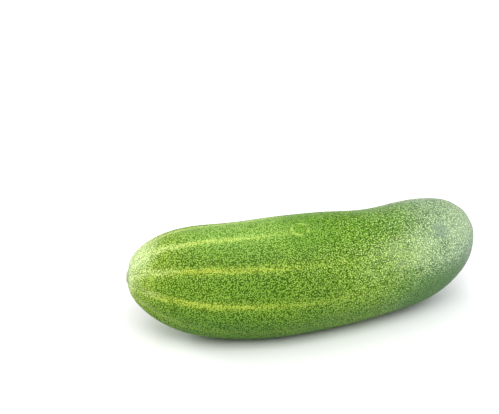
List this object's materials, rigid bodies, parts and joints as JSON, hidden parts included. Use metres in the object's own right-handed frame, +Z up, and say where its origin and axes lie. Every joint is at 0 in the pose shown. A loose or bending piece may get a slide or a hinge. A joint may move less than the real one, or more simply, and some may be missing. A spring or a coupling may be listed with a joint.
{
  "type": "cucumber",
  "caption": "Short thick cucumber, gently bent, blunt at both ends, with pale stripes, fine freckles and soft ribs, lying on its side.",
  "frame": {"origin": "on the surface that the fruit lies on, under the middle of its bounding box", "axes": "+X from the blossom end to the stem end, +Y to the side that both ends bend towards, +Z up"},
  "size_m": [0.166, 0.0608, 0.0532],
  "materials": {
    "skin": "satin"
  },
  "bodies": {
    "root": {"cucumber": "skin"}
  },
  "joints": []
}
